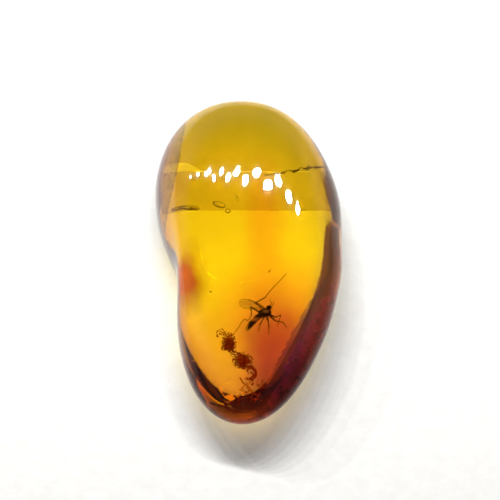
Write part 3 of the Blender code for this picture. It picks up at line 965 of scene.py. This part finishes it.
def shade_sheet(front, step, height, slope, reach):
    """A sheet that runs back from a slightly wavy front edge."""
    middle = Vector((0, front, height))
    left = -room_ahead(middle, Vector((-1, 0, 0)))
    right = room_ahead(middle, Vector((1, 0, 0)))
    back = Vector((0, 1, -slope)).normalized()
    points, faces = [], []
    for i in range(SHEET_COLUMNS + 1):
        x = left + (right - left) * i / SHEET_COLUMNS
        wave = 0.10 * noise.noise(Vector((x * 0.7, front, 0)))
        wave += 0.03 * noise.noise(Vector((x * 4, front, 5)))
        stepped = step / (1 + math.exp(4 * (x - STEP_AT)))
        start = Vector((x, front + wave + stepped, height))
        length = min(room_ahead(start, back), reach)
        for j in range(SHEET_ROWS + 1):
            point = start + back * (length * j / SHEET_ROWS)
            point.z += 0.12 * noise.noise(point * 0.5)
            points.append(point)
    width = SHEET_ROWS + 1
    for i in range(SHEET_COLUMNS):
        for j in range(SHEET_ROWS):
            a = i * width + j
            faces.append((a, a + width, a + width + 1, a + 1))
    return {"points": points, "faces": faces}


def painted_shade_film(name, tint, front, fade):
    """A film that only tints, most at its front edge: painted shade."""
    material, shader = new_material(name)
    tree = material.node_tree
    place = in_millimetres(tree)
    split = add_node(tree, "ShaderNodeSeparateXYZ", [(0, place)])
    weaker = add_node(tree, "ShaderNodeMapRange", [("Value", split.outputs["Y"])],
                      From_Min=front, From_Max=front + fade)
    clouds = add_node(tree, "ShaderNodeTexNoise", [("Vector", place)], Scale=0.8)
    cloudy = blend(tree, clouds.outputs["Fac"], hex_colour(tint), hex_colour("#d0c0c0"))
    colour = blend(tree, 0.7, cloudy, hex_colour(tint))
    faded = blend(tree, weaker.outputs[0], colour, (1, 1, 1, 1))
    tree.links.new(faded, shader.inputs["Base Color"])
    shader.inputs["Transmission Weight"].default_value = 1.0
    shader.inputs["IOR"].default_value = 1.0
    shader.inputs["Roughness"].default_value = 0.0
    return material


# each sheet paints shade over the far end of the pebble
for name, (front, step, height, slope, reach, fade, tint) in SHADE_SHEETS.items():
    film = painted_shade_film(name + "_film", tint, front, fade)
    finish_piece(name, shade_sheet(front, step, height, slope, reach), film)

# %% [markdown]
# A crack that later resin filled shows as a jagged brown ribbon, seen nearly from its edge. Its
# line jumps sideways by a noise at two scales. One long crack, its end on the other flank and a
# splinter that crosses it make up the piece.

# %% Healed crack
CRACKS = (                  # the line of each crack, and how deep it goes
    (((1.35, 6.95, 7.2), (3.0, 7.35, 7.2), (4.4, 7.75, 7.0), (5.6, 7.85, 6.7), (6.5, 8.0, 6.2)),
     1.1),
    (((-6.9, 7.75, 5.6), (-6.2, 7.62, 5.8), (-5.4, 7.6, 6.0)), 0.3),
    (((4.65, 7.4, 7.0), (4.75, 8.0, 6.9)), 0.4),
)
CRACK_JUMP = 0.16           # mm by which the line jumps sideways
CRACK_LEAN = 0.12           # mm by which its lower edge does
CRACK_COVER = 0.95


def jagged_ribbon(shape, line, depth):
    """A ribbon that hangs down from a line and is as ragged below as above."""
    line = smooth_path(line, 14)
    points = []
    for point in line:
        jump = noise.noise(point * 2.3) + 0.6 * noise.noise(point * 9)
        depth_here = depth * (0.7 + 0.6 * noise.noise(point * 5 + Vector((0, 0, 9))))
        top = point + Vector((0, CRACK_JUMP * jump, 0))
        points += [top, top + Vector((0, CRACK_LEAN * jump, -depth_here))]
    faces = [(2 * i, 2 * i + 1, 2 * i + 3, 2 * i + 2) for i in range(len(line) - 1)]
    join_in(shape, points, faces)


cracks = new_shape()
for line, depth in CRACKS:
    jagged_ribbon(cracks, line, depth)
crack_fill, crack_shader = new_material("oxidised_crack_filling")
crack_tree = crack_fill.node_tree
flecks = add_node(crack_tree, "ShaderNodeTexNoise", [("Vector", in_millimetres(crack_tree))],
                  Scale=5.0, Detail=5.0)
rust = blend(crack_tree, flecks.outputs["Fac"], hex_colour("#3c1a06"), hex_colour("#8a5210"))
crack_tree.links.new(rust, crack_shader.inputs["Base Color"])
crack_shader.inputs["Alpha"].default_value = CRACK_COVER
crack_shader.inputs["Roughness"].default_value = 0.6
finish_piece("healed_crack", cracks, crack_fill)

# %% [markdown]
# Amber from the ground has a weathered rind, crumbly and reddish brown. Grinding left some of it
# on the rim. Here it is a skin a tenth of a millimetre under the polish: the pebble's own faces
# where a spot of rind lies, moved inward. The same skin also carries painted light and shade. The
# first spot, the maroon flank, is a huge ball far off to one side, so that its edge crosses the
# stone as a nearly straight, crisp line; it is the rind's colour and also painted shade, where
# that flank reflects the dark room. The bright orange spot on the hollow side of the narrow end is
# painted light over the dark reflection along that flank. A noise breaks up the cover, because the
# rind crazes as it dries, and even its thin margins hide half of what is below.

# %% Weathered rind
RINDS_AND_PAINTED_LIGHT = (                   # middle and half axes in mm, softness, colour, and how much it covers
    # partly painted shade: the rind's maroon, and the dark of a flank that reflects the dark room
    ((92.0, -54.9, 5.0), (100, 100, 100), 0.004, "#8c3a30", 0.92),      # maroon flank
    ((7.7, -1.5, 5.0), (0.8, 5.5, 3.0), 0.4, "#d88c44", 0.8),           # its paler upper part
    ((0.6, -14.2, 5.0), (4.2, 1.5, 3.0), 0.4, "#f08c50", 0.85),         # narrow end
    # painted light: a bright orange cover where the flank shows a dark reflection, the colour of
    # lit amber
    ((-5.7, -12.6, 3.4), (2.2, 4.6, 2.8), 0.2, "#ffa03c", 0.97),        # hollow side of that end
    ((-7.0, 9.6, 4.6), (1.5, 4.8, 3.2), 0.4, "#9c5c40", 0.85),          # wide end
    ((-6.6, -2.4, 4.6), (0.8, 2.9, 2.4), 0.3, "#46180c", 0.97),         # hollow flank
)
RIND_MARGIN = "#34100f"     # colour between the spots
RIND_LEAST = 0.5            # how much the thinnest margin covers
RIND_DEPTH = 0.1            # mm under the polished surface
RIND_CRAZE = 1.6            # waves of the crazing per mm
RIND_WANDER = 0.35          # mm by which a noise shifts the spots of rind
RIND_WAVES = 0.8            # waves of that noise per mm


def under_a_spot(point):
    """Whether a point of the surface lies under some spot of rind or painted light, or near it."""
    for middle, half_axes, edge, _, _ in RINDS_AND_PAINTED_LIGHT:
        reach = Vector((c - m) / h for c, m, h in zip(point, middle, half_axes)).length
        if reach < 1 + edge + RIND_WANDER / min(half_axes):
            return True
    return False


def rind_shape():
    """The pebble's faces near a spot of rind or painted light, moved inward by the rind's depth."""
    mesh = bpy.data.meshes.new("rind")
    mesh.from_pydata(pebble_points, [], pebble_faces)
    inner = [vertex.co - vertex.normal * RIND_DEPTH for vertex in mesh.vertices]
    bpy.data.meshes.remove(mesh)
    kept = [face for face in pebble_faces if all(under_a_spot(pebble_points[i]) for i in face)]
    used = sorted({i for face in kept for i in face})
    renumbered = {old: new for new, old in enumerate(used)}
    return {"points": [inner[i] for i in used],
            "faces": [tuple(renumbered[i] for i in face) for face in kept]}


def rind_and_painted_light():
    material, shader = new_material("rind_and_painted_light_skin")
    tree = material.node_tree
    place = in_millimetres(tree)
    bent = wandering(tree, place, RIND_WANDER, RIND_WAVES)
    craze = add_node(tree, "ShaderNodeTexNoise", [("Vector", place)], Scale=RIND_CRAZE, Detail=6.0)
    streaks = add_node(tree, "ShaderNodeMapRange", [("Value", craze.outputs["Fac"])],
                       From_Min=0.35, From_Max=0.6, To_Min=0.7, To_Max=1.0)
    colour, cover = hex_colour(RIND_MARGIN), None
    for middle, half_axes, edge, tint, share in RINDS_AND_PAINTED_LIGHT:
        spot = soft_spot(tree, bent, middle, half_axes, edge)
        colour = blend(tree, spot, colour, hex_colour(tint))
        scaled = add_node(tree, "ShaderNodeMath", [(0, spot)], operation="MULTIPLY")
        scaled.inputs[1].default_value = share
        joined = add_node(tree, "ShaderNodeMath", [(0, scaled.outputs[0])], operation="MAXIMUM")
        if cover:
            tree.links.new(cover, joined.inputs[1])
        else:
            joined.inputs[1].default_value = RIND_LEAST
        cover = joined.outputs[0]
    broken = add_node(tree, "ShaderNodeMath", [(0, cover), (1, streaks.outputs[0])],
                      operation="MULTIPLY")
    tree.links.new(colour, shader.inputs["Base Color"])
    tree.links.new(broken.outputs[0], shader.inputs["Alpha"])
    shader.inputs["Roughness"].default_value = 0.7
    return material


finish_piece("rind_and_painted_light", rind_shape(), rind_and_painted_light())

# %% [markdown]
# ## Paper and room
# The pebble lies on white paper. Paper scatters light evenly and its fibres make it faintly
# cloudy. The room is bright low down, by its windows, and dark overhead. That dark ceiling is
# what makes the amber's colours deep: the top reflects nothing bright except the lamps. A room
# without walls gives the paper too little even light, and a render finds little of the light
# that a lens gathers, so the paper shines faintly by itself, more so below the pebble.

# %% Paper
FLOOR_HALF = 600            # mm
FLOOR_Z = -0.02             # a hair below the pebble's flat
PAPER_WHITE = "#a8a8a6"
# painted shade: the paper is painted greyer nearer to the eye, as if less lamp light fell there
PAPER_PAINTED_SHADE = "#989795"      # its tone nearer to the eye
PAPER_FADE = (-26.0, 4.0)   # mm along Y, from grey to white
FIBRE_WAVES = 0.9           # clouds of fibre per mm, coarser than real ones so that they show
SKY_FILL = (0.20, 0.20, 0.195, 1.0)     # the room's even light
GATHERED = (0.60, 0.52, 0.28, 1.0)      # the same below the pebble, with what it gathers

paper, paper_shader = new_material("white_paper")
paper_tree = paper.node_tree
paper_place = in_millimetres(paper_tree)
paper_split = add_node(paper_tree, "ShaderNodeSeparateXYZ", [(0, paper_place)])
# painted shade: grey paper near the eye fading to white further off
fade = add_node(paper_tree, "ShaderNodeMapRange", [("Value", paper_split.outputs["Y"])],
                From_Min=PAPER_FADE[0], From_Max=PAPER_FADE[1])
fibres = add_node(paper_tree, "ShaderNodeTexNoise", [("Vector", paper_place)],
                  Scale=FIBRE_WAVES, Detail=8.0)
paper_colour = blend(paper_tree, fade.outputs[0], hex_colour(PAPER_PAINTED_SHADE), hex_colour(PAPER_WHITE))
cloudy = blend(paper_tree, 0.10, paper_colour, fibres.outputs["Fac"], "OVERLAY")
paper_tree.links.new(cloudy, paper_shader.inputs["Base Color"])
paper_bump = add_node(paper_tree, "ShaderNodeBump", [("Height", fibres.outputs["Fac"])],
                      Strength=0.4)
paper_bump.inputs["Distance"].default_value = 0.2 * MM
paper_tree.links.new(paper_bump.outputs[0], paper_shader.inputs["Normal"])
paper_shader.inputs["Roughness"].default_value = 0.9
gathered = soft_spot(paper_tree, paper_place, (-0.3, 0.3, 0.0), (7.2, 13.2, 5.0), 0.25)
paper_tree.links.new(blend(paper_tree, gathered, SKY_FILL, GATHERED),
                     paper_shader.inputs["Emission Color"])
paper_shader.inputs["Emission Strength"].default_value = 1.0
floor_corners = [(x * FLOOR_HALF, y * FLOOR_HALF, FLOOR_Z)
                 for x, y in ((-1, -1), (1, -1), (1, 1), (-1, 1))]
floor = add_piece("paper", floor_corners, [(0, 1, 2, 3)], paper)

# %% Room light
ROOM_LIGHT = 0.4            # brightness low down, by the windows
ROOM_DARK = 0.003           # and of the ceiling
SKY_FROM, SKY_TO = 0.6, 0.85        # sines of the angles above the horizon between the two

world = bpy.data.worlds.new("room")
bpy.context.scene.world = world
world.use_nodes = True
sky = world.node_tree
direction = add_node(sky, "ShaderNodeTexCoord")
split = add_node(sky, "ShaderNodeSeparateXYZ", [(0, direction.outputs["Generated"])])
ceiling = add_node(sky, "ShaderNodeMapRange", [("Value", split.outputs["Z"])], From_Min=SKY_FROM,
                   From_Max=SKY_TO, To_Min=ROOM_LIGHT, To_Max=ROOM_DARK)
sky.nodes["Background"].inputs["Color"].default_value = (1, 1, 1, 1)
sky.links.new(ceiling.outputs[0], sky.nodes["Background"].inputs["Strength"])

# %% [markdown]
# ## Lamps placed by their glints
# The pebble's top carries a chain of small white glints, one for each lamp of a strip. A glint
# shows where the surface stands like a mirror between the eye and a lamp. So instead of
# guessing lamp places, each glint's place on the pebble is chosen, and the line of sight is
# reflected there: the lamp hangs somewhere along that line.

# %% Lamps
PICTURE = 500               # pixels along the picture's side, in which the glints are given
GLINTS = ((190.5, 177), (197.5, 174), (206, 174), (210, 170), (214, 177), (221, 171), (228, 178),
          (237, 171), (245, 181), (256.5, 173), (268, 185), (278, 181), (289, 197), (298, 208))
LAMP_DISTANCE = 220         # mm from the glint
LAMP_WATTS = 0.095
LAMP_SIZES = (2.5, 7)       # mm across, first and last lamp

across = Vector((1, 0, 0))
upward = to_camera.cross(across)
step = FIELD / PICTURE / CAMERA_DISTANCE
for i, (x, y) in enumerate(GLINTS):
    aside = across * (x - PICTURE / 2) * step + upward * (PICTURE / 2 - y) * step
    sight = (aside - to_camera).normalized()
    place, normal, _, _ = tree_of_pebble.ray_cast(camera_place, sight)
    away = sight.reflect(normal)
    lamp = bpy.data.lights.new(f"lamp_{i}", "AREA")
    lamp.shape = "DISK"
    share = i / (len(GLINTS) - 1)
    lamp.size = (LAMP_SIZES[0] + (LAMP_SIZES[1] - LAMP_SIZES[0]) * share) * MM
    lamp.energy = LAMP_WATTS
    bulb = bpy.data.objects.new(f"lamp_{i}", lamp)
    bulb.location = (place + away * LAMP_DISTANCE) * MM
    bulb.rotation_mode = "QUATERNION"
    bulb.rotation_quaternion = away.to_track_quat("Z", "Y")
    bpy.context.scene.collection.objects.link(bulb)

bpy.context.scene.view_settings.view_transform = "Standard"
